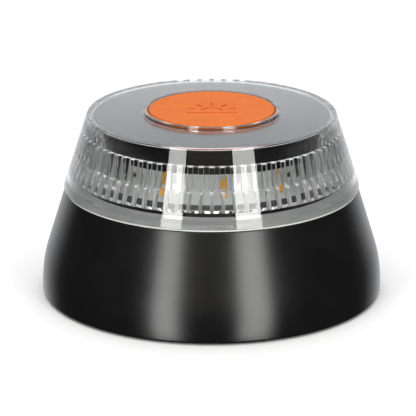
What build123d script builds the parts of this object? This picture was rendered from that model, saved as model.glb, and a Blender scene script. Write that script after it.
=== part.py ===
"""Battery-powered roadside warning beacon with a magnetic base.

A black skirt carries a clear ribbed lens. Inside the lens stands a tower with a ring of
amber LEDs, and a large orange push button sits in the middle of the top. The underside
has a rubber pad, four magnets and a hinged door to three AA cells.

Frame: millimetres, +Z up, origin on the ground under the centre, -Y is the front.
"""
import os
from math import cos, radians, sin, tan

from build123d import *

os.makedirs("parts", exist_ok=True)

# ---------------------------------------------------------------- driving dimensions
FOOT_R = 50.0             # widest radius of the skirt
SKIRT_TOP_Z = 31.6        # shoulder where the lens begins
LENS_TOP_Z = 54.2         # flat top of the lens
BUTTON_R = 18.4           # orange push button
BUTTON_TOP_Z = 55.3
LED_COUNT = 10
RIB_COUNT = 76

# skirt
FLANK_ANGLE = 17.2        # slope of the flank from the vertical, degrees
BELLY_ARC_R = 38.0        # arc that turns the flank vertical near the ground
BELLY_START_Z = 3.4
SKIRT_BOTTOM_Z = 0.4
SKIRT_WALL = 2.3
DECK_BOTTOM_Z = 29.4
DECK_HOLE_R = 19.5
PLATE_SEAT_R = 47.4
PLATE_SEAT_Z = 4.0
SEAL_IN_R, SEAL_OUT_R, SEAL_BOTTOM_Z = 40.0, 41.6, 30.4
SEAL_LIP_IN_R, SEAL_LIP_OUT_R = 39.4, 43.0
BOSS_R, BOSS_TOP_Z, BOSS_PILOT_R = 3.0, 20.0, 1.25

# lens
LENS_SLOPE = 0.318        # radius lost per millimetre of height
LENS_BOTTOM_Z = 31.9
LENS_FOOT_R = 43.5
FLANGE_TOP_Z = 34.4
FLANGE_IN_R = 38.0
TOP_PLATE_T = 1.2
COLLAR_IN_R, COLLAR_OUT_R = 18.8, 20.1
COLLAR_TOP_Z = 55.2
SNAP_ANGLES = (-44.0, 76.0, 196.0)
SNAP_IN_R, SNAP_OUT_R = 38.0, 39.1

# prism ring, a clear insert with vertical ribs in two tiers
RIB_TOP_Z, RIB_MID_Z, RIB_BOTTOM_Z = 48.2, 41.4, 36.4
RING_BOTTOM_Z = 34.5
LENS_WALL_T = 1.5         # lens wall where the insert lies against it
RING_GAP = 0.06
RING_SKIN_T = 0.7
RIB_WIDTH = 2.2
RIB_UPPER_R = 35.5         # face of the ribs in the upper tier
RIB_LOWER_R = 39.3         # foot of their leaning face in the lower tier

# LED tower
CAP_R = 34.6
CAP_TOP_Z, CAP_DISC_T, CAP_SKIRT_Z = 52.7, 1.3, 45.6
PAN_R, PAN_TOP_Z = 37.4, 32.6
TOWER_IN_R, TOWER_TOP_Z = 23.0, 46.0
TOWER_SCREW_R = 22.9
TOWER_SCREW_ANGLES = (45.0, 135.0, 225.0, 315.0)
TOWER_BOSS_R, TOWER_BOSS_TOP_Z, TOWER_PILOT_R = 2.2, 37.2, 1.25
WIRE_HOLE_AT, WIRE_HOLE_R = (0.0, -13.0), 8.0
STRIP_IN_R, STRIP_OUT_R = 25.3, 26.9
STRIP_BOTTOM_Z, STRIP_TOP_Z = 35.8, 42.9
LED_Z = 40.0
LED_W, LED_H = 2.8, 3.5
LED_FACE_R = STRIP_OUT_R + 0.95
LED_WINDOW_DEPTH, LED_WINDOW_INSET = 0.25, 0.35
LED_START_ANGLE = -90.0 + 6.8

# electronics
BOARD_R, BOARD_BOTTOM_Z, BOARD_TOP_Z = 22.5, 42.0, 43.6
POST_R, POST_PITCH_R = 2.6, 20.2
POST_ANGLES = (90.0, 210.0, 330.0)
SWITCH_SIDE, SWITCH_TOP_Z = 6.0, 47.1
PLUNGER_R, PLUNGER_TOP_Z = 1.7, 48.6
SPRING_R, SPRING_WIRE_R, SPRING_TURNS = 9.0, 0.4, 5

# push button
BUTTON_PLATE_T = 1.6
BUTTON_EDGE_R = 0.4
BUTTON_FLANGE_R, BUTTON_FLANGE_TOP_Z, BUTTON_FLANGE_T = 19.8, 52.9, 1.0
BUTTON_SEAL_TOP_Z, BUTTON_SEAL_BOTTOM_Z = 54.2, 53.4
ICON_DEPTH = 0.3
ICON_LINE = 0.75

# base plate, door and pad
PLATE_R, PLATE_BOTTOM_Z, PLATE_TOP_Z = 47.2, 1.0, 4.0
BAY_X, BAY_Y = 23.0, 27.6            # half sizes of the battery bay
RECESS_X, RECESS_Y, RECESS_Z = 26.2, 31.2, 2.8
DOOR_GAP, DOOR_TOP_Z = 0.3, 2.6
DOOR_HINGE_END_Y = 28.5
HINGE_Y, HINGE_Z, KNUCKLE_R = 30.6, 2.4, 1.4
KNUCKLE_CENTRES, KNUCKLE_LENGTH = (-12.0, 12.0), 8.0
PIN_R, PIN_HALF_LENGTH = 0.75, 18.5
MAGNET_R, MAGNET_T, MAGNET_Z, MAGNET_PITCH_R = 5.0, 3.0, 1.8, 39.5
MAGNET_ANGLES = (30.0, 150.0, 210.0, 330.0)
PLATE_SCREW_PITCH_R = 42.6
PLATE_SCREW_ANGLES = (60.0, 120.0, 240.0, 300.0)
SCREW_SINK = 1.5
PAD_R = 46.4
GASKET_X, GASKET_Y, GASKET_W, GASKET_DEPTH = 24.9, (-29.6, 27.9), 1.0, 0.6
TONGUE_HALF_W, TONGUE_T, TONGUE_TOP_Z, TONGUE_BARB = 5.0, 0.9, 5.4, 0.3

# battery box and cells
CELL_R, CELL_LENGTH, CELL_PITCH, CELL_Z = 7.15, 50.0, 15.0, 10.35
BOX_WALL = 1.4
BOX_ROOF_Z = 18.2
CELL_X = (-CELL_PITCH, 0.0, CELL_PITCH)
CELL_SIGN = (1, -1, 1)           # the way each nub points along Y
TAB_X, TAB_SIGN = (-CELL_PITCH, CELL_PITCH), (-1, 1)
CONTACT_T, CONTACT_HALF_W = 0.4, 5.0
CONTACT_BOTTOM_Z, CONTACT_TOP_Z = 6.0, 15.8
TAB_TOP_Z = BOX_ROOF_Z + BOX_WALL + 1.6
EAR_X, EAR_Y, EAR_HALF_WIDTH, EAR_T = 28.2, 7.0, 3.2, 1.4

# leads from the cells to the board
WIRE_R = 0.75
RED_ROUTE = [
    (15.0, BAY_Y - CONTACT_T / 2, TAB_TOP_Z),
    (15.0, BAY_Y - CONTACT_T / 2, 24.0),
    (14.4, 24.2, 26.2),
    (12.6, 17.5, 26.9),
    (9.0, 6.0, 26.6),
    (5.6, -5.0, 27.6),
    (3.6, -11.2, 31.5),
    (3.4, -12.6, 36.5),
    (3.4, -12.6, BOARD_BOTTOM_Z),
]
BLACK_ROUTE = [
    (-15.0, -BAY_Y + CONTACT_T / 2, TAB_TOP_Z),
    (-15.0, -BAY_Y + CONTACT_T / 2, 23.8),
    (-14.0, -25.6, 25.6),
    (-10.5, -21.5, 26.6),
    (-6.0, -17.2, 28.4),
    (-3.6, -13.6, 32.4),
    (-3.4, -12.6, 37.0),
    (-3.4, -12.6, BOARD_BOTTOM_Z),
]


# ---------------------------------------------------------------- helpers
def save(node, shape):
    """Writes one node as a STEP file; a list becomes one node of several solids."""
    if isinstance(shape, (list, tuple)):
        shape = Compound(children=[*shape])
    export_step(shape, f"parts/{node}.step")


def rod(radius, bottom, top, x=0.0, y=0.0):
    """Upright cylinder between two heights."""
    return Pos(x, y, (bottom + top) / 2) * Cylinder(radius, top - bottom)


def ring(outer, inner, bottom, top):
    """Upright tube between two heights."""
    return rod(outer, bottom, top) - rod(inner, bottom - 1, top + 1)


def block(x, y, z):
    """Box between (low, high) pairs on each axis."""
    size = [high - low for low, high in (x, y, z)]
    centre = [(high + low) / 2 for low, high in (x, y, z)]
    return Pos(*centre) * Box(*size)


def lathe(points):
    """Solid of revolution about Z from (radius, height) points."""
    outline = Polyline(*[(r, 0, z) for r, z in points], close=True)
    return revolve(make_face(outline), Axis.Z)


def polar(radius, angle):
    """Point at a radius and an angle in degrees, as (x, y)."""
    return radius * cos(radians(angle)), radius * sin(radians(angle))


def turned(shape, angles):
    """Copies of a shape turned about Z."""
    return [Rot(0, 0, angle) * shape for angle in angles]


def screw(head_r, head_h, shank_r, length, slot=0.6):
    """Pan-head screw that points along -Z, with the underside of its head at z = 0."""
    head = fillet(rod(head_r, 0, head_h).edges().group_by(Axis.Z)[-1], head_h * 0.45)
    shank = chamfer(rod(shank_r, -length, 0.01).edges().group_by(Axis.Z)[0], shank_r * 0.4)
    cross = Box(head_r * 1.3, slot, head_h) + Box(slot, head_r * 1.3, head_h)
    return head + shank - Pos(0, 0, head_h) * cross


def lens_r(z):
    """Outer radius of the lens flank at a height."""
    return LENS_FOOT_R - LENS_SLOPE * (z - LENS_BOTTOM_Z)


# ---------------------------------------------------------------- skirt
def skirt_profile():
    """Closed outline of the skirt's wall and deck, on the XZ plane."""
    angle = radians(FLANK_ANGLE)
    belly_top_z = BELLY_START_Z + BELLY_ARC_R * sin(angle)
    belly_top_r = FOOT_R - BELLY_ARC_R * (1 - cos(angle))
    shoulder_r = belly_top_r - tan(angle) * (SKIRT_TOP_Z - belly_top_z)
    edge = 0.8
    lip = 0.5
    belly = TangentArc(
        (FOOT_R, 0, BELLY_START_Z), (belly_top_r, 0, belly_top_z), tangent=(0, 0, 1)
    )
    foot = TangentArc(
        (FOOT_R, 0, SKIRT_BOTTOM_Z + edge),
        (FOOT_R - edge, 0, SKIRT_BOTTOM_Z),
        tangent=(0, 0, -1),
    )
    inside = Polyline(
        (belly_top_r, 0, belly_top_z),
        (shoulder_r + lip * sin(angle), 0, SKIRT_TOP_Z - lip),
        (shoulder_r - lip, 0, SKIRT_TOP_Z),
        (DECK_HOLE_R, 0, SKIRT_TOP_Z),
        (DECK_HOLE_R, 0, DECK_BOTTOM_Z),
        (shoulder_r - SKIRT_WALL + tan(angle) * (SKIRT_TOP_Z - DECK_BOTTOM_Z), 0, DECK_BOTTOM_Z),
        (belly_top_r - SKIRT_WALL, 0, belly_top_z),
        (PLATE_SEAT_R - 1.4, 0, PLATE_SEAT_Z + 2),
        (PLATE_SEAT_R - 1.4, 0, PLATE_SEAT_Z),
        (PLATE_SEAT_R, 0, PLATE_SEAT_Z),
        (PLATE_SEAT_R, 0, SKIRT_BOTTOM_Z),
        (FOOT_R - edge, 0, SKIRT_BOTTOM_Z),
    )
    rise = Line((FOOT_R, 0, SKIRT_BOTTOM_Z + edge), (FOOT_R, 0, BELLY_START_Z))
    return make_face([belly, inside, foot, rise])


def skirt():
    body = revolve(skirt_profile(), Axis.Z)
    envelope = lathe(
        [(0, PLATE_SEAT_Z), (FOOT_R - 1.5, PLATE_SEAT_Z), (FOOT_R - 3.6, BOSS_TOP_Z), (0, BOSS_TOP_Z)]
    )
    for angle in PLATE_SCREW_ANGLES:
        x, y = polar(PLATE_SCREW_PITCH_R, angle)
        web = block((PLATE_SCREW_PITCH_R, FOOT_R - 1.8), (-0.8, 0.8), (PLATE_SEAT_Z, BOSS_TOP_Z))
        boss = rod(BOSS_R, PLATE_SEAT_Z, BOSS_TOP_Z, x, y) + Rot(0, 0, angle) * web
        boss = boss & envelope
        body = body + boss - rod(BOSS_PILOT_R, PLATE_SEAT_Z - 1, BOSS_TOP_Z - 6, x, y)
    body -= ring(SEAL_OUT_R, SEAL_IN_R, SEAL_BOTTOM_Z, SKIRT_TOP_Z + 1)
    for angle in TOWER_SCREW_ANGLES:
        x, y = polar(TOWER_SCREW_R, angle)
        body -= rod(1.4, DECK_BOTTOM_Z - 1, SKIRT_TOP_Z + 1, x, y)
    slot = block((SNAP_IN_R - 0.3, SNAP_OUT_R + 0.2), (-4.3, 4.3), (DECK_BOTTOM_Z - 1, SKIRT_TOP_Z + 1))
    for cut in turned(slot, SNAP_ANGLES):
        body -= cut
    return body


# ---------------------------------------------------------------- lens
def lens():
    """Clear dome: sloping wall, flat top, collar for the button, foot flange and snap hooks."""
    inner_top = LENS_TOP_Z - TOP_PLATE_T
    rim = 0.7
    wall_r = CAP_R + 0.35
    outline = [
        (FLANGE_IN_R, LENS_BOTTOM_Z),
        (LENS_FOOT_R - 0.5, LENS_BOTTOM_Z),
        (LENS_FOOT_R - 0.15, LENS_BOTTOM_Z + 0.15),
        (lens_r(LENS_BOTTOM_Z + 0.5), LENS_BOTTOM_Z + 0.5),
        (lens_r(LENS_TOP_Z - rim), LENS_TOP_Z - rim),
        (lens_r(LENS_TOP_Z - rim * 0.3) - 0.25, LENS_TOP_Z - rim * 0.3),
        (lens_r(LENS_TOP_Z) - rim * 0.85, LENS_TOP_Z),
        (COLLAR_OUT_R, LENS_TOP_Z),
        (COLLAR_OUT_R, COLLAR_TOP_Z - 0.35),
        (COLLAR_OUT_R - 0.35, COLLAR_TOP_Z),
        (COLLAR_IN_R + 0.35, COLLAR_TOP_Z),
        (COLLAR_IN_R, COLLAR_TOP_Z - 0.35),
        (COLLAR_IN_R, inner_top),
        (wall_r - 0.6, inner_top),
        (wall_r, inner_top - 0.6),
        (wall_r + 0.3, RIB_TOP_Z + 0.1),
        (lens_r(RIB_TOP_Z) - LENS_WALL_T, RIB_TOP_Z + 0.1),
        (lens_r(FLANGE_TOP_Z) - LENS_WALL_T, FLANGE_TOP_Z),
        (FLANGE_IN_R, FLANGE_TOP_Z),
    ]
    body = lathe(outline)
    hook_z = (27.9, LENS_BOTTOM_Z + 1)
    hook = block((SNAP_IN_R, SNAP_OUT_R), (-4, 4), hook_z)
    barb_profile = Polyline(
        (SNAP_OUT_R - 0.1, 0, 29.2), (SNAP_OUT_R + 0.9, 0, 29.2),
        (SNAP_OUT_R + 0.5, 0, 28.6), (SNAP_OUT_R - 0.1, 0, 27.9), close=True,
    )
    barb = extrude(make_face(barb_profile), 4, dir=(0, 1, 0), both=True)
    for snap in turned(hook + barb, SNAP_ANGLES):
        body += snap
    return body


def lens_seal():
    """Flat seal under the lens with a bead in the deck's groove."""
    bead = ring(SEAL_OUT_R - 0.05, SEAL_IN_R + 0.05, SEAL_BOTTOM_Z, LENS_BOTTOM_Z)
    return bead + ring(SEAL_LIP_OUT_R, SEAL_LIP_IN_R, SKIRT_TOP_Z, LENS_BOTTOM_Z)


def prism_ring():
    """Clear insert: a conical skin with ribs, upright in the upper tier and leaning out below."""
    def skin_out(z):
        return lens_r(z) - LENS_WALL_T - RING_GAP

    def skin_in(z):
        return skin_out(z) - RING_SKIN_T

    skin = lathe(
        [
            (skin_out(RING_BOTTOM_Z), RING_BOTTOM_Z),
            (skin_out(RIB_TOP_Z), RIB_TOP_Z),
            (skin_in(RIB_TOP_Z), RIB_TOP_Z),
            (skin_in(RING_BOTTOM_Z), RING_BOTTOM_Z),
        ]
    )
    root = 0.3
    band = lathe(
        [
            (skin_in(RIB_TOP_Z) + root, RIB_TOP_Z),
            (RIB_UPPER_R, RIB_TOP_Z),
            (RIB_UPPER_R, RIB_MID_Z),
            (RIB_LOWER_R, RIB_BOTTOM_Z),
            (skin_in(RIB_BOTTOM_Z) + root, RIB_BOTTOM_Z),
        ]
    )
    rib = band & block(
        (RIB_UPPER_R - 2, LENS_FOOT_R),
        (-RIB_WIDTH / 2, RIB_WIDTH / 2),
        (RIB_BOTTOM_Z - 1, RIB_TOP_Z + 1),
    )
    ribs = turned(rib, [i * 360 / RIB_COUNT for i in range(RIB_COUNT)])
    return skin.fuse(*ribs)


# ---------------------------------------------------------------- LED tower
def led_tower():
    """Black carrier: a flat pan and a round wall with a groove for the LED strip."""
    body = rod(PAN_R, SKIRT_TOP_Z, PAN_TOP_Z)
    body += ring(STRIP_OUT_R, TOWER_IN_R, PAN_TOP_Z - 0.5, TOWER_TOP_Z)
    body -= ring(STRIP_OUT_R + 1, STRIP_IN_R - 0.1, STRIP_BOTTOM_Z - 0.05, STRIP_TOP_Z + 0.05)
    for angle in TOWER_SCREW_ANGLES:
        x, y = polar(TOWER_SCREW_R, angle)
        body += rod(TOWER_BOSS_R, PAN_TOP_Z - 0.5, TOWER_BOSS_TOP_Z, x, y)
        body -= rod(TOWER_PILOT_R, SKIRT_TOP_Z - 1, TOWER_BOSS_TOP_Z - 1, x, y)
    for angle in POST_ANGLES:
        x, y = polar(POST_PITCH_R, angle)
        body += rod(POST_R, PAN_TOP_Z - 0.5, BOARD_BOTTOM_Z, x, y)
        body -= rod(0.85, BOARD_BOTTOM_Z - 7, BOARD_BOTTOM_Z + 1, x, y)
    return body - rod(WIRE_HOLE_R, SKIRT_TOP_Z - 1, PAN_TOP_Z + 1, *WIRE_HOLE_AT)


def tower_cap():
    """Black cap over the tower: disc, overhanging skirt and a plug that fits the tower's wall."""
    disc_bottom = CAP_TOP_Z - CAP_DISC_T
    hole_r = BUTTON_FLANGE_R + 0.5
    return lathe(
        [
            (hole_r, CAP_TOP_Z),
            (CAP_R - 0.4, CAP_TOP_Z),
            (CAP_R, CAP_TOP_Z - 0.4),
            (CAP_R, CAP_SKIRT_Z),
            (CAP_R - 1.3, CAP_SKIRT_Z),
            (CAP_R - 1.3, disc_bottom),
            (STRIP_OUT_R, disc_bottom),
            (STRIP_OUT_R, TOWER_TOP_Z),
            (TOWER_IN_R - 0.2, TOWER_TOP_Z),
            (TOWER_IN_R - 0.2, TOWER_TOP_Z - 0.9),
            (TOWER_IN_R - 1.6, TOWER_TOP_Z - 0.9),
            (TOWER_IN_R - 1.6, disc_bottom),
            (hole_r, disc_bottom),
        ]
    )


def led_angles():
    return [LED_START_ANGLE + i * 360 / LED_COUNT for i in range(LED_COUNT)]


def led_block(x_range, inset):
    """Block the size of an LED's face, less an inset all round."""
    half_w, half_h = LED_W / 2 - inset, LED_H / 2 - inset
    return block(x_range, (-half_w, half_w), (LED_Z - half_h, LED_Z + half_h))


def led_packages():
    """White packages with a shallow window in the face."""
    package = led_block((STRIP_OUT_R + 0.02, LED_FACE_R), 0)
    window = led_block((LED_FACE_R - LED_WINDOW_DEPTH, LED_FACE_R + 1), LED_WINDOW_INSET)
    return turned(package - window, led_angles())


def led_phosphors():
    """Amber windows, bedded in the packages."""
    window_x = (LED_FACE_R - LED_WINDOW_DEPTH, LED_FACE_R - 0.03)
    return turned(led_block(window_x, LED_WINDOW_INSET + 0.02), led_angles())


# ---------------------------------------------------------------- electronics
def main_board():
    board = rod(BOARD_R, BOARD_BOTTOM_Z, BOARD_TOP_Z)
    for angle in POST_ANGLES:
        board -= rod(1.1, BOARD_BOTTOM_Z - 1, BOARD_TOP_Z + 1, *polar(POST_PITCH_R, angle))
    return board


def board_parts():
    """Controller, driver, inductor, capacitors and the LED strip's connector."""
    top = BOARD_TOP_Z
    capacitor = fillet(rod(2.0, top, top + 4.2).edges().group_by(Axis.Z)[-1], 0.4)
    return [
        block((-18, -12), (-3, 3), (top, top + 1.0)),
        block((11.5, 15.5), (-8.5, -3.5), (top, top + 1.2)),
        block((12, 17.5), (3, 8.5), (top, top + 2.6)),
        Pos(-12.5, -11, 0) * capacitor,
        Pos(-12.5, 9.5, 0) * capacitor,
        block((-5, 5), (-20, -16), (top, top + 3.2)),
        *[block((x, x + 1.6), (13.5, 14.3), (top, top + 0.6)) for x in (-8, -4.5, -1, 2.5, 6)],
    ]


def switch_body():
    half = SWITCH_SIDE / 2
    body = block((-half, half), (-half, half), (BOARD_TOP_Z, SWITCH_TOP_Z))
    body = chamfer(body.edges().filter_by(Axis.Z), 0.4)
    return body - rod(PLUNGER_R + 0.08, BOARD_TOP_Z + 0.9, SWITCH_TOP_Z + 1)


def switch_plunger():
    plunger = rod(PLUNGER_R, SWITCH_TOP_Z - 0.8, PLUNGER_TOP_Z)
    return chamfer(plunger.edges().group_by(Axis.Z)[-1], 0.2)


# ---------------------------------------------------------------- push button
def icon_cut():
    """Generic lamp sign: a dome over a bar, with five rays. Its foot faces the front."""
    bar_y = -4.4
    dome_r = 3.2
    dome_y = -2.2
    top = BUTTON_TOP_Z - ICON_DEPTH
    cut = block((-7.4, 7.4), (bar_y - ICON_LINE / 2, bar_y + ICON_LINE / 2), (top, top + 1))
    arch = rod(dome_r, top, top + 1, 0, dome_y) - rod(dome_r - ICON_LINE, top - 1, top + 2, 0, dome_y)
    cut += arch & block((-9, 9), (dome_y, 9), (top, top + 1))
    for angle in (18, 54, 90, 126, 162):
        ray = block((dome_r + 1.7, dome_r + 4.3), (-ICON_LINE / 2, ICON_LINE / 2), (top, top + 1))
        cut += Pos(0, dome_y, 0) * Rot(0, 0, angle) * ray
    return cut


def power_button():
    plate_bottom = BUTTON_TOP_Z - BUTTON_PLATE_T
    flange_bottom = BUTTON_FLANGE_TOP_Z - BUTTON_FLANGE_T
    body = lathe(
        [
            (0, BUTTON_TOP_Z),
            (BUTTON_R, BUTTON_TOP_Z),
            (BUTTON_R, BUTTON_SEAL_TOP_Z),
            (BUTTON_R - 0.8, BUTTON_SEAL_TOP_Z),
            (BUTTON_R - 0.8, BUTTON_SEAL_BOTTOM_Z),
            (BUTTON_R, BUTTON_SEAL_BOTTOM_Z),
            (BUTTON_R, BUTTON_FLANGE_TOP_Z),
            (BUTTON_FLANGE_R, BUTTON_FLANGE_TOP_Z),
            (BUTTON_FLANGE_R, flange_bottom),
            (BUTTON_R - 2.2, flange_bottom),
            (BUTTON_R - 2.2, plate_bottom),
            (SPRING_R - SPRING_WIRE_R - 0.3, plate_bottom),
            (SPRING_R - SPRING_WIRE_R - 0.3, plate_bottom - 1.4),
            (SPRING_R - SPRING_WIRE_R - 1.3, plate_bottom - 1.4),
            (SPRING_R - SPRING_WIRE_R - 1.3, plate_bottom),
            (2.2, plate_bottom),
            (2.2, PLUNGER_TOP_Z),
            (0, PLUNGER_TOP_Z),
        ]
    )
    rim = body.edges().filter_by(GeomType.CIRCLE).group_by(Axis.Z)[-1]
    return fillet(rim, BUTTON_EDGE_R) - icon_cut()


def button_seal():
    """Sliding seal in the button's groove."""
    bottom, top = BUTTON_SEAL_BOTTOM_Z + 0.05, BUTTON_SEAL_TOP_Z - 0.05
    return ring(COLLAR_IN_R - 0.08, BUTTON_R - 0.75, bottom, top)


def return_spring():
    low = BOARD_TOP_Z + SPRING_WIRE_R + 0.02
    high = BUTTON_TOP_Z - BUTTON_PLATE_T - SPRING_WIRE_R - 0.02
    path = Pos(0, 0, low) * Helix((high - low) / SPRING_TURNS, high - low, SPRING_R)
    section = Plane(origin=path @ 0, z_dir=path % 0) * Circle(SPRING_WIRE_R)
    return sweep(section, path=path, is_frenet=True)


# ---------------------------------------------------------------- base plate and door
def hinge_pockets():
    """Room for the door's two knuckles."""
    half = KNUCKLE_LENGTH / 2 + DOOR_GAP
    pocket_y = (DOOR_HINGE_END_Y, HINGE_Y + KNUCKLE_R + 0.3)
    pocket_z = (PLATE_BOTTOM_Z - 1, PLATE_TOP_Z + 1)
    return [block((x - half, x + half), pocket_y, pocket_z) for x in KNUCKLE_CENTRES]


def base_plate():
    plate = rod(PLATE_R, PLATE_BOTTOM_Z, PLATE_TOP_Z)
    plate -= ring(PLATE_R + 1, PLATE_SEAT_R - 1.3, PLATE_TOP_Z - 0.6, PLATE_TOP_Z + 1)
    plate -= block((-BAY_X - 0.3, BAY_X + 0.3), (-BAY_Y - 0.2, BAY_Y + 0.2), (0, 6))
    plate -= block((-RECESS_X, RECESS_X), (-RECESS_Y, 29.3), (0, RECESS_Z))
    plate -= block((-5, 5), (-RECESS_Y - 2.6, -RECESS_Y + 1), (0, RECESS_Z - 0.4))
    for pocket in hinge_pockets():
        plate -= pocket
    plate -= Pos(8.5, HINGE_Y, HINGE_Z) * Rot(0, 90, 0) * Cylinder(PIN_R + 0.03, 55)
    for angle in MAGNET_ANGLES:
        x, y = polar(MAGNET_PITCH_R, angle)
        plate += rod(MAGNET_R + 1.2, PLATE_TOP_Z - 0.5, PLATE_TOP_Z + 1.4, x, y)
        plate -= rod(MAGNET_R + 0.1, MAGNET_Z, PLATE_TOP_Z + 3, x, y)
    for angle in PLATE_SCREW_ANGLES:
        x, y = polar(PLATE_SCREW_PITCH_R, angle)
        plate -= rod(1.5, 0, 6, x, y) + rod(2.8, 0, PLATE_BOTTOM_Z + SCREW_SINK, x, y)
    for x in (-EAR_X, EAR_X):
        for y in (-EAR_Y, EAR_Y):
            plate -= rod(0.95, PLATE_BOTTOM_Z + 0.6, PLATE_TOP_Z + 1, x, y)
    return plate


def foot_pad():
    pad = rod(PAD_R, 0, PLATE_BOTTOM_Z)
    pad = chamfer(pad.edges().group_by(Axis.Z)[0], 0.3)
    window = block((-RECESS_X - 0.4, RECESS_X + 0.4), (-RECESS_Y - 2.8, 33.2), (-1, 2))
    pad -= fillet(window.edges().filter_by(Axis.Z), 2.0)
    for angle in PLATE_SCREW_ANGLES:
        pad -= rod(3.2, -1, 2, *polar(PLATE_SCREW_PITCH_R, angle))
    return pad


def frame_strip(half_x, y_range, width, z_range):
    """Rectangular frame of one width."""
    outer = block((-half_x, half_x), y_range, z_range)
    hole_x = (-half_x + width, half_x - width)
    hole_y = (y_range[0] + width, y_range[1] - width)
    return outer - block(hole_x, hole_y, (z_range[0] - 1, z_range[1] + 1))


def battery_door():
    edge = RECESS_X - DOOR_GAP
    door = block((-edge, edge), (-RECESS_Y + DOOR_GAP, DOOR_HINGE_END_Y), (PLATE_BOTTOM_Z, DOOR_TOP_Z))
    corners = door.edges().filter_by(Axis.Z).group_by(Axis.Y)[0]
    door = fillet(corners, 1.2)
    groove_y = (GASKET_Y[0] - 0.05, GASKET_Y[1] + 0.05)
    groove_z = (DOOR_TOP_Z - GASKET_DEPTH, DOOR_TOP_Z + 1)
    door -= frame_strip(GASKET_X + 0.05, groove_y, GASKET_W + 0.1, groove_z)
    for x in KNUCKLE_CENTRES:
        span = (x - KNUCKLE_LENGTH / 2, x + KNUCKLE_LENGTH / 2)
        door += block(span, (DOOR_HINGE_END_Y - 0.3, HINGE_Y), (PLATE_BOTTOM_Z, DOOR_TOP_Z))
        door += Pos(x, HINGE_Y, HINGE_Z) * Rot(0, 90, 0) * Cylinder(KNUCKLE_R, KNUCKLE_LENGTH)
        door -= Pos(x, HINGE_Y, HINGE_Z) * Rot(0, 90, 0) * Cylinder(PIN_R + 0.08, KNUCKLE_LENGTH + 2)
    tongue_y = -BAY_Y + 0.3
    tongue_x = (-TONGUE_HALF_W, TONGUE_HALF_W)
    tongue_z = (DOOR_TOP_Z - 0.1, TONGUE_TOP_Z)
    door += block(tongue_x, (tongue_y, tongue_y + TONGUE_T), tongue_z)
    barb = Polyline(
        (0, tongue_y + 0.1, TONGUE_TOP_Z),
        (0, tongue_y, TONGUE_TOP_Z),
        (0, tongue_y - TONGUE_BARB, TONGUE_TOP_Z - 0.6),
        (0, tongue_y - TONGUE_BARB, TONGUE_TOP_Z - 1.0),
        (0, tongue_y + 0.1, TONGUE_TOP_Z - 1.6),
        close=True,
    )
    door += extrude(make_face(barb), TONGUE_HALF_W - 0.4, dir=(1, 0, 0), both=True)
    for number in range(4):
        grip_y = -RECESS_Y + 3.0 + 1.6 * number
        grip_z = (PLATE_BOTTOM_Z - 1, PLATE_BOTTOM_Z + 0.35)
        door -= block((-8, 8), (grip_y, grip_y + 0.7), grip_z)
    return door


def door_gasket():
    """Seal between the door and the plate's recess."""
    return frame_strip(GASKET_X, GASKET_Y, GASKET_W, (DOOR_TOP_Z - GASKET_DEPTH, RECESS_Z))


# ---------------------------------------------------------------- battery box and cells
def battery_box():
    outer_x, outer_y = BAY_X + BOX_WALL, BAY_Y + BOX_WALL
    box = block((-outer_x, outer_x), (-outer_y, outer_y), (PLATE_TOP_Z, BOX_ROOF_Z + BOX_WALL))
    box = fillet(box.edges().filter_by(Axis.Z), 2.0)
    box = fillet(box.edges().group_by(Axis.Z)[-1], 1.0)
    box -= block((-BAY_X, BAY_X), (-BAY_Y, BAY_Y), (PLATE_TOP_Z - 1, BOX_ROOF_Z))
    notch_x = (-TONGUE_HALF_W - 0.4, TONGUE_HALF_W + 0.4)
    box -= block(notch_x, (-BAY_Y - 0.7, -BAY_Y + 1), (PLATE_TOP_Z - 1, TONGUE_TOP_Z + 0.4))
    for side in (-1, 1):
        for y in (-EAR_Y, EAR_Y):
            ear_x = sorted((side * (outer_x - 0.2), side * (EAR_X + 2.6)))
            ear_y = (y - EAR_HALF_WIDTH, y + EAR_HALF_WIDTH)
            box += block(ear_x, ear_y, (PLATE_TOP_Z, PLATE_TOP_Z + EAR_T))
            box -= rod(1.15, PLATE_TOP_Z - 1, PLATE_TOP_Z + EAR_T + 1, side * EAR_X, y)
    for x, sign in zip(TAB_X, TAB_SIGN):
        wall = sign * (BAY_Y - CONTACT_T / 2)
        slot_z = (BOX_ROOF_Z - 1, BOX_ROOF_Z + BOX_WALL + 1)
        box -= block((x - 1.8, x + 1.8), (wall - 0.45, wall + 0.45), slot_z)
    return box


def cell(x, sign):
    """One AA cell: body, shoulder and nub."""
    tip = BAY_Y - CONTACT_T
    nub, shoulder = 1.0, 0.4
    body = lathe(
        [
            (0, tip), (2.6, tip), (2.6, tip - nub), (CELL_R - 0.9, tip - nub),
            (CELL_R, tip - nub - shoulder), (CELL_R, tip - CELL_LENGTH + 0.3),
            (CELL_R - 0.3, tip - CELL_LENGTH), (0, tip - CELL_LENGTH),
        ]
    )
    return Pos(x, 0, CELL_Z) * Rot(-90 * sign, 0, 0) * body


def contact_springs():
    """Cone springs that press on each cell's flat end."""
    start = BAY_Y - CONTACT_T
    length = 2 * start - CELL_LENGTH
    wire = 0.35
    springs = []
    for x, sign in zip(CELL_X, CELL_SIGN):
        height = length - 2 * wire - 0.04
        path = Helix(height / 3, height, 4.4, cone_angle=-12)
        section = Plane(origin=path @ 0, z_dir=path % 0) * Circle(wire)
        coil = sweep(section, path=path, is_frenet=True)
        springs.append(
            Pos(x, -sign * (start - wire - 0.02), CELL_Z) * Rot(-90 * sign, 0, 0) * coil
        )
    return springs


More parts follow.
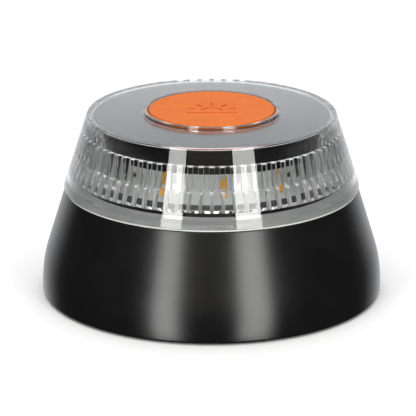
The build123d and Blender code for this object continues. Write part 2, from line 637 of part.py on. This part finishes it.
def contact_plates():
    """Single plates with a solder tab at both ends of the circuit, and two bridges."""
    plates = []
    for x, sign in zip(TAB_X, TAB_SIGN):
        wall = sorted((sign * (BAY_Y - CONTACT_T), sign * BAY_Y))
        single = block(
            (x - CONTACT_HALF_W, x + CONTACT_HALF_W), wall, (CONTACT_BOTTOM_Z, CONTACT_TOP_Z)
        )
        tab = block((x - 1.5, x + 1.5), wall, (CONTACT_TOP_Z - 1, TAB_TOP_Z))
        plates.append(single + tab)
        far_wall = sorted((-wall[0], -wall[1]))
        bridge_x = sorted((x + sign * CONTACT_HALF_W, -sign * CONTACT_HALF_W))
        plates.append(block(bridge_x, far_wall, (CONTACT_BOTTOM_Z, CONTACT_TOP_Z)))
    return plates


def wire(points):
    """Insulated lead along straight runs joined by arcs as large as the runs allow."""
    vectors = [Vector(*p) for p in points]
    runs = [(b - a) for a, b in zip(vectors, vectors[1:])]
    radii = [
        0.45 * min(a.length, b.length) / tan(radians(a.get_angle(b)) / 2)
        for a, b in zip(runs, runs[1:])
    ]
    path = FilletPolyline(*points, radius=radii)
    section = Plane(origin=path @ 0, z_dir=path % 0) * Circle(WIRE_R)
    return sweep(section, path=path)


# ---------------------------------------------------------------- write every node
def screws_at(kind, radius, angles, z, points_up):
    """Copies of a screw on a circle; points_up turns the tip upwards."""
    turn = Rot(180, 0, 0) if points_up else Rot(0, 0, 0)
    return [Pos(*polar(radius, angle), z) * turn * kind for angle in angles]


save("base_skirt", skirt())
save("lens", lens())
save("prism_ring", prism_ring())
save("lens_seal", lens_seal())
save("led_tower", led_tower())
save("tower_cap", tower_cap())
save("led_strip", ring(STRIP_OUT_R, STRIP_IN_R, STRIP_BOTTOM_Z, STRIP_TOP_Z))
save("led_packages", led_packages())
save("led_phosphors", led_phosphors())
tower_screw = screw(1.9, 1.7, 1.2, 6.0)
save("tower_screws", screws_at(tower_screw, TOWER_SCREW_R, TOWER_SCREW_ANGLES, DECK_BOTTOM_Z, True))

save("main_board", main_board())
save("board_parts", board_parts())
board_screw = screw(1.9, 1.3, 0.8, 6.5)
save("board_screws", screws_at(board_screw, POST_PITCH_R, POST_ANGLES, BOARD_TOP_Z, False))
save("switch_body", switch_body())
save("switch_plunger", switch_plunger())
save("return_spring", return_spring())
save("power_button", power_button())
save("button_seal", button_seal())

save("base_plate", base_plate())
save("plate_seal", ring(PLATE_SEAT_R - 0.25, PLATE_SEAT_R - 1.25, PLATE_TOP_Z - 0.6, PLATE_TOP_Z))
plate_screw = screw(2.5, 1.2, 1.2, 10.5)
screw_seat_z = PLATE_BOTTOM_Z + SCREW_SINK
save("plate_screws", screws_at(plate_screw, PLATE_SCREW_PITCH_R, PLATE_SCREW_ANGLES, screw_seat_z, True))
save("foot_pad", foot_pad())
magnet_at = [polar(MAGNET_PITCH_R, angle) for angle in MAGNET_ANGLES]
save("magnets", [rod(MAGNET_R, MAGNET_Z, MAGNET_Z + MAGNET_T, x, y) for x, y in magnet_at])
save("battery_door", battery_door())
save("door_gasket", door_gasket())
save("hinge_pin", Pos(0, HINGE_Y, HINGE_Z) * Rot(0, 90, 0) * Cylinder(PIN_R, 2 * PIN_HALF_LENGTH))

save("battery_box", battery_box())
ear_screw = screw(1.9, 1.2, 0.9, 3.4)
ear_at = [(x, y) for x in (-EAR_X, EAR_X) for y in (-EAR_Y, EAR_Y)]
save("box_screws", [Pos(x, y, PLATE_TOP_Z + EAR_T) * ear_screw for x, y in ear_at])
for number, (x, sign) in enumerate(zip(CELL_X, CELL_SIGN), start=1):
    save(f"battery_{number}", cell(x, sign))
save("contact_springs", contact_springs())
save("contact_plates", contact_plates())
save("wire_red", wire(RED_ROUTE))
save("wire_black", wire(BLACK_ROUTE))
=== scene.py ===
from math import ceil, cos, pi, radians, sin, tan

import bmesh
import bpy
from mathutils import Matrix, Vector


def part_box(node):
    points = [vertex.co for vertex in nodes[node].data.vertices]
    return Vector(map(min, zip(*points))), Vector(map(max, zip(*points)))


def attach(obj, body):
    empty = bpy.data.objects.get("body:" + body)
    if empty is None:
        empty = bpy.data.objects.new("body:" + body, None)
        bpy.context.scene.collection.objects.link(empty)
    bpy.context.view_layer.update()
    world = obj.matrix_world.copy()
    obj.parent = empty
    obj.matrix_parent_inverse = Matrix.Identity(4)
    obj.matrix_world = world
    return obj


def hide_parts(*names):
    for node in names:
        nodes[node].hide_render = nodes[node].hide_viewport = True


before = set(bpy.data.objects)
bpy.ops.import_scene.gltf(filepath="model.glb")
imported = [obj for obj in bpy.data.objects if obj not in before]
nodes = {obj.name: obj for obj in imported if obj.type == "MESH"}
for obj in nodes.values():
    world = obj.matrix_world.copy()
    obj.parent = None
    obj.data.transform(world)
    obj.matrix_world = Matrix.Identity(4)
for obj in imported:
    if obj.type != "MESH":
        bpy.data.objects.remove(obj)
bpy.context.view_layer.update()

# A small roadside warning beacon. Lengths are millimetres in the tables of named values and in
# profiles, and become metres in the meshes.
MM = 0.001


def low(node, axis=2):
    """Lowest coordinate of a CAD node along an axis, in millimetres."""
    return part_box(node)[0][axis] / MM


def high(node, axis=2):
    """Highest coordinate of a CAD node along an axis, in millimetres."""
    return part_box(node)[1][axis] / MM


# ------------------------------------------------------------------ sizes, in millimetres
BASE_R = high("base_skirt", 0) - 0.01
BASE_TOP_Z = high("base_skirt")
BASE_BOTTOM_Z = low("base_skirt")
FLANK_ANGLE = radians(17.2)
BELLY_ARC_R = 38.0
BELLY_START_Z = 3.4
FLANK_WALL, SHOULDER_WALL = 2.3, 1.6
DECK_BOTTOM_Z, DECK_HOLE_R = 29.4, 24.0
GROOVE_IN_R, GROOVE_OUT_R, GROOVE_BOTTOM_Z = 40.0, 41.6, 30.4
WALL_FOOT_R, WALL_FOOT_Z = 46.0, 6.0
PLATE_SEAT_R, PLATE_SEAT_Z = 47.4, 4.0

LENS_SLOPE = 0.318
LENS_FOOT_Z = 31.93
LENS_FOOT_R = 43.5
LENS_TOP_Z = 54.2
LENS_TOP_T = 1.2
LENS_SHOULDER_R = 35.0     # inside, between the flat top and the ribs
LENS_WALL = 1.4            # beside the lower tier and below it
COLLAR_TOP_Z = high("lens")
COLLAR_IN_R, COLLAR_OUT_R = 18.8, 20.1
FLANGE_TOP_Z = 34.4
FLANGE_IN_R = 38.0

CELL_REACH = 27.5          # from a cell's middle to each end of its film

RIB_COUNT = 76
RIB_TOP_Z, RIB_MID_Z, RIB_BOTTOM_Z = 48.2, 41.4, 36.4
RIB_END = 0.12             # height of the bevel at each end of a tier
RIB_WIDTH_R = 38.0         # radius at which the widths across the ribs hold
RIB_HALF_WIDTH = 1.15
RIB_UPPER_HALF_WIDTH = 0.8
RIB_EDGE, RIB_SIDE = 0.10, 0.03
RIB_UPPER_R = 35.5
RIB_UPPER_DEPTH = 0.8      # at the top; the gaps between the upper ribs lean outwards
GAP_LEAN = 0.18
RIB_LOWER_R = 38.8         # foot of the leaning, bowed faces in the lower tier
RIB_BOW = 0.48

CLEAR, RIB_FACE, RIB_SIDES, FLANGE = range(4)  # material slots of the lens


def lens_r(z):
    """Outer radius of the lens at a height."""
    return LENS_FOOT_R - LENS_SLOPE * (z - LENS_FOOT_Z)


# ------------------------------------------------------------------ mesh helpers
def rounded(corners, closed=True, step=12.0):
    """Profile points from (r, z, fillet radius) corners, with arcs at the fillets."""
    points = []
    count = len(corners)
    for i, (r, z, radius) in enumerate(corners):
        here = Vector((r, z))
        at_end = not closed and i in (0, count - 1)
        if radius <= 0 or at_end:
            points.append((r, z))
            continue
        before = (Vector(corners[i - 1][:2]) - here).normalized()
        after = (Vector(corners[(i + 1) % count][:2]) - here).normalized()
        between = before.angle(after)
        reach = radius / tan(between / 2)
        centre = here + (before + after).normalized() * (radius / sin(between / 2))
        start = here + before * reach - centre
        end = here + after * reach - centre
        turn = pi - between
        pieces = max(2, ceil(turn / radians(step)))
        for k in range(pieces + 1):
            share = k / pieces
            spoke = start * (sin((1 - share) * turn) / sin(turn))
            spoke += end * (sin(share * turn) / sin(turn))
            points.append(tuple(centre + spoke))
    return points


def new_object(name, bm, material, sharp=35.0):
    """Object from a bmesh, smooth shaded except at edges sharper than an angle in degrees."""
    bmesh.ops.recalc_face_normals(bm, faces=bm.faces)
    mesh = bpy.data.meshes.new(name)
    bm.to_mesh(mesh)
    bm.free()
    mesh.shade_smooth()
    mesh.set_sharp_from_angle(angle=radians(sharp))
    mesh.materials.append(material)
    obj = bpy.data.objects.new(name, mesh)
    bpy.context.scene.collection.objects.link(obj)
    return obj


def weave(bm, rings, closed_loop):
    """Quads between rings of vertices; a ring with one vertex is a pole."""
    pairs = list(zip(rings, rings[1:]))
    if closed_loop:
        pairs.append((rings[-1], rings[0]))
    for one, two in pairs:
        count = max(len(one), len(two))
        for j in range(count):
            k = (j + 1) % count
            if len(one) == 1:
                bm.faces.new((one[0], two[j], two[k]))
            elif len(two) == 1:
                bm.faces.new((one[j], two[0], one[k]))
            else:
                bm.faces.new((one[j], two[j], two[k], one[k]))


def lathe(bm, profile, columns, closed=True):
    """Turns (r, z) points about Z into quads."""
    rings = []
    for r, z in profile:
        if r < 1e-6:
            rings.append([bm.verts.new((0, 0, z * MM))])
            continue
        spokes = [2 * pi * j / columns for j in range(columns)]
        rings.append([bm.verts.new((r * MM * cos(a), r * MM * sin(a), z * MM)) for a in spokes])
    weave(bm, rings, closed)


# ------------------------------------------------------------------ materials
def material(name):
    """Empty node material with its Principled shader."""
    mat = bpy.data.materials.new(name)
    mat.use_nodes = True
    return mat, mat.node_tree, mat.node_tree.nodes["Principled BSDF"]


def noise(tree, scale, detail=3.0, roughness=0.5, stretch=(1, 1, 1)):
    """Noise over the piece's own coordinates; scale is in features per metre."""
    coords = tree.nodes.new("ShaderNodeTexCoord")
    mapping = tree.nodes.new("ShaderNodeMapping")
    mapping.inputs["Scale"].default_value = stretch
    tree.links.new(coords.outputs["Object"], mapping.inputs["Vector"])
    texture = tree.nodes.new("ShaderNodeTexNoise")
    texture.inputs["Scale"].default_value = scale
    texture.inputs["Detail"].default_value = detail
    texture.inputs["Roughness"].default_value = roughness
    tree.links.new(mapping.outputs["Vector"], texture.inputs["Vector"])
    return texture.outputs["Fac"]


def spread(tree, factor, first, last, start=0.3, end=0.7):
    """Maps a noise factor to a range of values or colours."""
    if isinstance(first, (int, float)):
        node = tree.nodes.new("ShaderNodeMapRange")
        node.inputs["From Min"].default_value = start
        node.inputs["From Max"].default_value = end
        node.inputs["To Min"].default_value = first
        node.inputs["To Max"].default_value = last
        tree.links.new(factor, node.inputs["Value"])
        return node.outputs["Result"]
    node = tree.nodes.new("ShaderNodeValToRGB")
    node.color_ramp.elements[0].position = start
    node.color_ramp.elements[0].color = (*first, 1)
    node.color_ramp.elements[1].position = end
    node.color_ramp.elements[1].color = (*last, 1)
    tree.links.new(factor, node.inputs["Fac"])
    return node.outputs["Color"]


def bump(tree, shader, height, distance, strength=1.0):
    """Bump from a height, with distance in metres."""
    node = tree.nodes.new("ShaderNodeBump")
    node.inputs["Strength"].default_value = strength
    node.inputs["Distance"].default_value = distance
    tree.links.new(height, node.inputs["Height"])
    tree.links.new(node.outputs["Normal"], shader.inputs["Normal"])


def plastic(name, dark, light, rough, grain_scale=2200.0, grain=4e-6, **sockets):
    """Moulded plastic: faint mottling, uneven gloss and a fine mould grain."""
    mat, tree, shader = material(name)
    tree.links.new(spread(tree, noise(tree, 90.0), dark, light), shader.inputs["Base Color"])
    gloss = spread(tree, noise(tree, 260.0, 5.0, 0.6), rough[0], rough[1])
    tree.links.new(gloss, shader.inputs["Roughness"])
    bump(tree, shader, noise(tree, grain_scale, 2.0), grain)
    for socket, value in sockets.items():
        shader.inputs[socket.replace("_", " ")].default_value = value
    return mat


def clear_plastic(name, least_haze, most_haze, passing=1.0):
    """Clear polycarbonate with faint flow marks; passing is the share of light it lets through."""
    mat, tree, shader = material(name)
    tint = spread(tree, noise(tree, 60.0), (0.965, 0.975, 0.975), (0.99, 0.995, 0.995))
    tree.links.new(tint, shader.inputs["Base Color"])
    haze = spread(tree, noise(tree, 180.0, 4.0), least_haze, most_haze)
    tree.links.new(haze, shader.inputs["Roughness"])
    shader.inputs["Transmission Weight"].default_value = passing
    shader.inputs["IOR"].default_value = 1.585
    return mat


def metal(name, colour, worn, rough):
    """Drawn or plated metal with fine streaks and uneven gloss."""
    mat, tree, shader = material(name)
    tree.links.new(spread(tree, noise(tree, 300.0, 4.0), colour, worn), shader.inputs["Base Color"])
    streaks = noise(tree, 900.0, 3.0, 0.6, (1, 1, 8))
    tree.links.new(spread(tree, streaks, rough[0], rough[1]), shader.inputs["Roughness"])
    shader.inputs["Metallic"].default_value = 1.0
    bump(tree, shader, streaks, 3e-6)
    return mat


def cell_jacket(cell, nub_side):
    """Printed film of a battery cell, from flat end to nub: plating, dark body, copper, plating."""
    mat, tree, shader = material(f"cell_jacket_{low(cell, 0):+.0f}")
    coords = tree.nodes.new("ShaderNodeTexCoord")
    split = tree.nodes.new("ShaderNodeSeparateXYZ")
    tree.links.new(coords.outputs["Object"], split.inputs["Vector"])
    along = tree.nodes.new("ShaderNodeMapRange")
    along.inputs["From Min"].default_value = -CELL_REACH * MM * nub_side
    along.inputs["From Max"].default_value = CELL_REACH * MM * nub_side
    tree.links.new(split.outputs["Y"], along.inputs["Value"])
    ramp = tree.nodes.new("ShaderNodeValToRGB")
    ramp.color_ramp.interpolation = "CONSTANT"
    tree.links.new(along.outputs["Result"], ramp.inputs["Fac"])
    stops = ramp.color_ramp.elements
    stops[0].position, stops[0].color = 0.0, (0.55, 0.55, 0.54, 1)
    stops[1].position, stops[1].color = 0.09, (0.012, 0.016, 0.022, 1)
    stops.new(0.72).color = (0.45, 0.17, 0.06, 1)
    stops.new(0.962).color = (0.6, 0.6, 0.58, 1)
    tree.links.new(ramp.outputs["Color"], shader.inputs["Base Color"])
    tree.links.new(spread(tree, noise(tree, 400.0), 0.18, 0.3), shader.inputs["Roughness"])
    shader.inputs["Metallic"].default_value = 0.45
    return mat


black = plastic("black_abs", (0.0035, 0.0035, 0.004), (0.006, 0.0058, 0.006), (0.235, 0.255))
black_inner = plastic("black_inner", (0.003, 0.003, 0.003), (0.006, 0.006, 0.006), (0.4, 0.5),
                      Specular_IOR_Level=0.12)
orange = plastic("orange_abs", (0.66, 0.137, 0.008), (0.72, 0.157, 0.012), (0.55, 0.65),
                 3200.0, 9e-6, Specular_IOR_Level=0.2)
clear = clear_plastic("clear_polycarbonate", 0.0, 0.02)
clear_faces = clear_plastic("clear_rib_faces", 0.03, 0.06)
clear_sides = clear_plastic("clear_rib_gaps", 0.28, 0.36, 0.7)
frosted = clear_plastic("frosted_flange", 0.35, 0.45, 0.55)
rubber = plastic("black_rubber", (0.012, 0.012, 0.012), (0.022, 0.022, 0.021), (0.7, 0.85),
                 1500.0, 2e-5)
silicone = plastic("grey_silicone", (0.1, 0.1, 0.105), (0.14, 0.14, 0.145), (0.5, 0.65))
white_seal = plastic("white_silicone", (0.75, 0.75, 0.73), (0.82, 0.82, 0.80), (0.5, 0.65))
white_board = plastic("white_solder_mask", (0.80, 0.81, 0.80), (0.86, 0.87, 0.86), (0.3, 0.42))
green_board = plastic("green_solder_mask", (0.008, 0.07, 0.03), (0.014, 0.1, 0.045), (0.3, 0.4),
                      900.0, 8e-6)
led_white = plastic("led_housing", (0.82, 0.81, 0.77), (0.88, 0.87, 0.83), (0.35, 0.5))
led_amber = plastic("led_phosphor", (0.98, 0.42, 0.03), (1.0, 0.52, 0.05), (0.25, 0.4))
chip = plastic("chip_epoxy", (0.016, 0.016, 0.017), (0.026, 0.026, 0.027), (0.5, 0.65),
               1800.0, 8e-6)
steel = metal("zinc_steel", (0.5, 0.5, 0.5), (0.62, 0.62, 0.6), (0.25, 0.42))
plated = metal("nickel_plate", (0.72, 0.7, 0.66), (0.8, 0.78, 0.75), (0.14, 0.28))
red_wire = plastic("red_insulation", (0.5, 0.015, 0.012), (0.6, 0.022, 0.018), (0.4, 0.5))
black_wire = plastic("black_insulation", (0.01, 0.01, 0.01), (0.018, 0.018, 0.018), (0.4, 0.5))

FINISHES = {
    black: ("base_plate", "battery_door", "battery_box"),
    black_inner: ("tower_cap", "led_tower"),
    rubber: ("foot_pad",),
    silicone: ("button_seal", "plate_seal", "door_gasket"),
    white_seal: ("lens_seal",),
    white_board: ("led_strip", "switch_plunger"),
    green_board: ("main_board",),
    orange: ("power_button",),
    led_white: ("led_packages",),
    led_amber: ("led_phosphors",),
    chip: ("board_parts", "switch_body"),
    steel: ("tower_screws", "board_screws", "plate_screws", "box_screws", "hinge_pin"),
    plated: ("return_spring", "magnets", "contact_springs", "contact_plates"),
    red_wire: ("wire_red",),
    black_wire: ("wire_black",),
}


def paint(node, mat):
    """Gives a carried-over CAD node one material in every slot."""
    mesh = nodes[node].data
    if not mesh.materials:
        mesh.materials.append(mat)
    for i in range(len(mesh.materials)):
        mesh.materials[i] = mat


for finish, names in FINISHES.items():
    for name in names:
        paint(name, finish)
for cell, nub_side in (("battery_1", 1), ("battery_2", -1), ("battery_3", 1)):
    paint(cell, cell_jacket(cell, nub_side))


# ------------------------------------------------------------------ black base
def base_profile():
    """Closed outline of the skirt: belly arc, flank, shoulder, deck, inside and foot."""
    top_z = BELLY_START_Z + BELLY_ARC_R * sin(FLANK_ANGLE)
    belly = []
    arc_steps = 16
    for k in range(arc_steps + 1):
        a = FLANK_ANGLE * k / arc_steps
        belly.append((BASE_R - BELLY_ARC_R * (1 - cos(a)), BELLY_START_Z + BELLY_ARC_R * sin(a)))
    flank_r = belly[-1][0]
    shoulder_r = flank_r - tan(FLANK_ANGLE) * (BASE_TOP_Z - top_z)
    rest = rounded(
        [
            (flank_r, top_z, 0),
            (shoulder_r, BASE_TOP_Z, 0.55),
            (GROOVE_OUT_R, BASE_TOP_Z, 0.15),
            (GROOVE_OUT_R, GROOVE_BOTTOM_Z, 0),
            (GROOVE_IN_R, GROOVE_BOTTOM_Z, 0),
            (GROOVE_IN_R, BASE_TOP_Z, 0.15),
            (DECK_HOLE_R, BASE_TOP_Z, 0.2),
            (DECK_HOLE_R, DECK_BOTTOM_Z, 0),
            (shoulder_r - SHOULDER_WALL, DECK_BOTTOM_Z, 0.8),
            (flank_r - FLANK_WALL, top_z, 0),
            (WALL_FOOT_R, WALL_FOOT_Z, 0),
            (WALL_FOOT_R, PLATE_SEAT_Z, 0),
            (PLATE_SEAT_R, PLATE_SEAT_Z, 0),
            (PLATE_SEAT_R, BASE_BOTTOM_Z, 0.15),
            (BASE_R, BASE_BOTTOM_Z, 0.8),
            (BASE_R, BELLY_START_Z, 0),
        ],
        closed=False,
    )
    return belly + rest[1:-1]


bm = bmesh.new()
lathe(bm, base_profile(), 360)
skirt = new_object("skirt_shell", bm, black, 40.0)
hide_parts("base_skirt")
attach(skirt, "root")


# ------------------------------------------------------------------ clear lens
def rib_columns(half_width):
    """(angle, share of rib depth) across one pitch after another, with sheer sides."""
    pitch = 2 * pi / RIB_COUNT
    half = half_width / RIB_WIDTH_R
    edge = RIB_EDGE / RIB_WIDTH_R
    side = RIB_SIDE / RIB_WIDTH_R
    half_gap = pitch / 2 - half
    across = [
        (-half - side, 0.0), (-half, 0.90), (-half + edge, 1.0), (-half / 2, 1.0), (0.0, 1.0),
        (half / 2, 1.0), (half - edge, 1.0), (half, 0.90), (half + side, 0.0),
        (pitch / 2 - half_gap / 2, 0.0), (pitch / 2, 0.0), (pitch / 2 + half_gap / 2, 0.0),
    ]
    columns = []
    for k in range(RIB_COUNT):
        middle = -pi / 2 + (k + 0.5) * pitch
        columns += [(middle + offset, share) for offset, share in across]
    return columns


def rib_r(z):
    """Radius of a rib's face at a height: upright above, leaning and bowed below."""
    if z >= RIB_MID_Z:
        return RIB_UPPER_R
    share = (RIB_MID_Z - z) / (RIB_MID_Z - RIB_BOTTOM_Z)
    bowed = share + RIB_BOW * share * (1 - share)
    return RIB_UPPER_R + bowed * (RIB_LOWER_R - RIB_UPPER_R)


def gap_r(z):
    """Radius of the wall between two ribs at a height."""
    if z > RIB_MID_Z:
        return RIB_UPPER_R + RIB_UPPER_DEPTH + GAP_LEAN * (RIB_TOP_Z - z)
    return lens_r(z) - LENS_WALL


def tier(top_z, bottom_z, steps=3):
    """Rows of one tier of ribs."""
    heights = [top_z + (bottom_z - top_z) * k / steps for k in range(steps + 1)]
    return [(gap_r(z), rib_r(z), z) for z in heights]


def plain(corners):
    """Rows without ribs from (r, z, fillet radius) corners."""
    return [(r, r, z) for r, z in rounded(corners, closed=False)]


def lens_rows():
    """(radius in a gap, radius on a rib, height) down the inside and round the outside."""
    under = LENS_TOP_Z - LENS_TOP_T
    rows = plain(
        [
            (COLLAR_IN_R, COLLAR_TOP_Z - 1.5, 0),
            (COLLAR_IN_R, under, 0.2),
            (LENS_SHOULDER_R - 0.05, under, 0.3),
            (LENS_SHOULDER_R + 0.05, RIB_TOP_Z + 0.25, 0),
        ]
    )
    rows.append((gap_r(RIB_TOP_Z), RIB_UPPER_R - 0.2, RIB_TOP_Z + RIB_END / 2))
    rows += tier(RIB_TOP_Z - RIB_END, RIB_MID_Z + RIB_END)
    rows += tier(RIB_MID_Z - RIB_END, RIB_BOTTOM_Z + RIB_END)
    rows.append((gap_r(RIB_BOTTOM_Z), rib_r(RIB_BOTTOM_Z) + RIB_END, RIB_BOTTOM_Z))
    rows += plain(
        [
            (gap_r(RIB_BOTTOM_Z - RIB_END), RIB_BOTTOM_Z - RIB_END, 0),
            (gap_r(FLANGE_TOP_Z), FLANGE_TOP_Z, 0),
            (FLANGE_IN_R, FLANGE_TOP_Z, 0.2),
            (FLANGE_IN_R, LENS_FOOT_Z, 0.2),
            (LENS_FOOT_R, LENS_FOOT_Z, 0.35),
            (lens_r(LENS_TOP_Z), LENS_TOP_Z, 0.6),
            (COLLAR_OUT_R, LENS_TOP_Z, 0.25),
            (COLLAR_OUT_R, COLLAR_TOP_Z, 0.2),
            (COLLAR_IN_R, COLLAR_TOP_Z, 0.2),
            (COLLAR_IN_R, COLLAR_TOP_Z - 1.4, 0),
        ]
    )
    return rows


def lens_slot(face, on_rib, in_gap):
    """Material slot of a face, from its place and the sets that its corners belong to."""
    middle = face.calc_center_median() / MM
    if middle.z < FLANGE_TOP_Z + 0.01 and middle.xy.length < LENS_FOOT_R - 0.6:
        return FLANGE
    if all(vert in on_rib for vert in face.verts):
        return RIB_FACE
    if all(vert in in_gap for vert in face.verts) and middle.z > RIB_MID_Z:
        return RIB_FACE
    if any(vert in in_gap for vert in face.verts):
        return RIB_SIDES
    return CLEAR


def lens_mesh():
    """Lens with its ribs as one closed mesh."""
    bm = bmesh.new()
    rings = []
    on_rib, in_gap = set(), set()
    for gap, rib, z in lens_rows():
        ribbed = gap != rib
        upper = ribbed and z > RIB_MID_Z
        ring = []
        for angle, share in rib_columns(RIB_UPPER_HALF_WIDTH if upper else RIB_HALF_WIDTH):
            r = (gap + share * (rib - gap)) * MM
            vert = bm.verts.new((r * cos(angle), r * sin(angle), z * MM))
            ring.append(vert)
            if ribbed and share > 0.5:
                on_rib.add(vert)
            elif ribbed:
                in_gap.add(vert)
        rings.append(ring)
    weave(bm, rings, True)
    for face in bm.faces:
        face.material_index = lens_slot(face, on_rib, in_gap)
    return bm


lens = new_object("lens_shell", lens_mesh(), clear, 28.0)
for finish in (clear_faces, clear_sides, frosted):
    lens.data.materials.append(finish)
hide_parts("lens", "prism_ring")
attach(lens, "root")


# ------------------------------------------------------------------ stage, light and camera
def stage_floor():
    """Large soft-white floor with the faintest mottling, clear when seen from below."""
    mat, tree, shader = material("floor_paint")
    tree.links.new(spread(tree, noise(tree, 3.0), (0.93, 0.93, 0.93), (0.95, 0.95, 0.95)),
                   shader.inputs["Base Color"])
    shader.inputs["Roughness"].default_value = 0.9
    shader.inputs["Specular IOR Level"].default_value = 0.0
    geometry = tree.nodes.new("ShaderNodeNewGeometry")
    clear_below = tree.nodes.new("ShaderNodeBsdfTransparent")
    choose = tree.nodes.new("ShaderNodeMixShader")
    tree.links.new(geometry.outputs["Backfacing"], choose.inputs["Fac"])
    tree.links.new(shader.outputs["BSDF"], choose.inputs[1])
    tree.links.new(clear_below.outputs["BSDF"], choose.inputs[2])
    tree.links.new(choose.outputs["Shader"], tree.nodes["Material Output"].inputs["Surface"])
    bm = bmesh.new()
    lathe(bm, [(0, 0), (60, 0), (200, 0), (4000, 0)], 64, closed=False)
    floor = new_object("studio_floor", bm, mat)
    floor.visible_glossy = False
    floor.visible_transmission = False


def world_light():
    """Dim studio in front, bright behind and brightest above, by direction."""
    world = bpy.data.worlds.new("studio")
    bpy.context.scene.world = world
    world.use_nodes = True
    tree = world.node_tree
    back = tree.nodes["Background"]
    coords = tree.nodes.new("ShaderNodeTexCoord")
    split = tree.nodes.new("ShaderNodeSeparateXYZ")
    tree.links.new(coords.outputs["Generated"], split.inputs["Vector"])
    ramp = tree.nodes.new("ShaderNodeValToRGB")
    depth = tree.nodes.new("ShaderNodeMapRange")
    depth.inputs["From Min"].default_value = -1.0
    tree.links.new(split.outputs["Y"], depth.inputs["Value"])
    tree.links.new(depth.outputs["Result"], ramp.inputs["Fac"])
    stops = ramp.color_ramp.elements
    stops[0].position, stops[0].color = 0.79, (0.036, 0.036, 0.036, 1)
    stops[1].position, stops[1].color = 0.93, (0.88, 0.90, 0.93, 1)
    above = tree.nodes.new("ShaderNodeMapRange")
    above.inputs["From Min"].default_value = 0.45
    above.inputs["From Max"].default_value = 0.8
    tree.links.new(split.outputs["Z"], above.inputs["Value"])
    mix = tree.nodes.new("ShaderNodeMix")
    mix.data_type = "RGBA"
    tree.links.new(above.outputs["Result"], mix.inputs["Factor"])
    tree.links.new(ramp.outputs["Color"], mix.inputs["A"])
    mix.inputs["B"].default_value = (1.65, 1.65, 1.65, 1)
    tree.links.new(mix.outputs["Result"], back.inputs["Color"])


def softbox(name, azimuth, width, elevations, distance, radiance, colour):
    """Upright light that faces the beacon. Its place and width are angles seen from the beacon, in
    degrees, with the azimuth from the front towards +X; the distance is in metres."""
    bottom, top = (distance * tan(radians(elevation)) for elevation in elevations)
    light = bpy.data.lights.new(name, "AREA")
    light.shape = "RECTANGLE"
    light.size = 2 * distance * tan(radians(width) / 2)
    light.size_y = top - bottom
    light.energy = radiance * pi * light.size * light.size_y
    light.color = colour
    lamp = bpy.data.objects.new(name, light)
    a = radians(azimuth)
    lamp.location = Vector((distance * sin(a), -distance * cos(a), (top + bottom) / 2))
    facing = Vector((-sin(a), cos(a), 0))
    lamp.rotation_euler = facing.to_track_quat("-Z", "Y").to_euler()
    bpy.context.scene.collection.objects.link(lamp)


def studio_camera():
    """Long lens from the front, 18 degrees above."""
    elevation = radians(18.0)
    distance = 0.9
    aim = Vector((-1.06 * MM, 0, 24.7 * MM))
    data = bpy.data.cameras.new("studio_camera")
    data.sensor_width = 36.0
    data.lens = 264.0
    data.clip_start = 0.05
    data.clip_end = 20.0
    camera = bpy.data.objects.new("studio_camera", data)
    camera.location = aim + distance * Vector((0, -cos(elevation), sin(elevation)))
    camera.rotation_euler = (aim - camera.location).to_track_quat("-Z", "Y").to_euler()
    bpy.context.scene.collection.objects.link(camera)
    bpy.context.scene.camera = camera


stage_floor()
world_light()
for name, azimuth, width in (("strip_left", -30.5, 15.6), ("strip_right", 28.5, 19.7)):
    softbox(name, azimuth, width, elevations=(-25, 27), distance=1.3, radiance=8.3,
            colour=(1.0, 1.0, 0.98))
softbox("warm_fill", -2.0, 38.0, elevations=(0, 45), distance=1.5, radiance=0.2,
        colour=(1.0, 0.9, 0.76))
studio_camera()

scene = bpy.context.scene
scene.view_settings.view_transform = "Standard"
scene.cycles.max_bounces = 24
scene.cycles.transmission_bounces = 24
scene.cycles.glossy_bounces = 12
scene.cycles.diffuse_bounces = 6
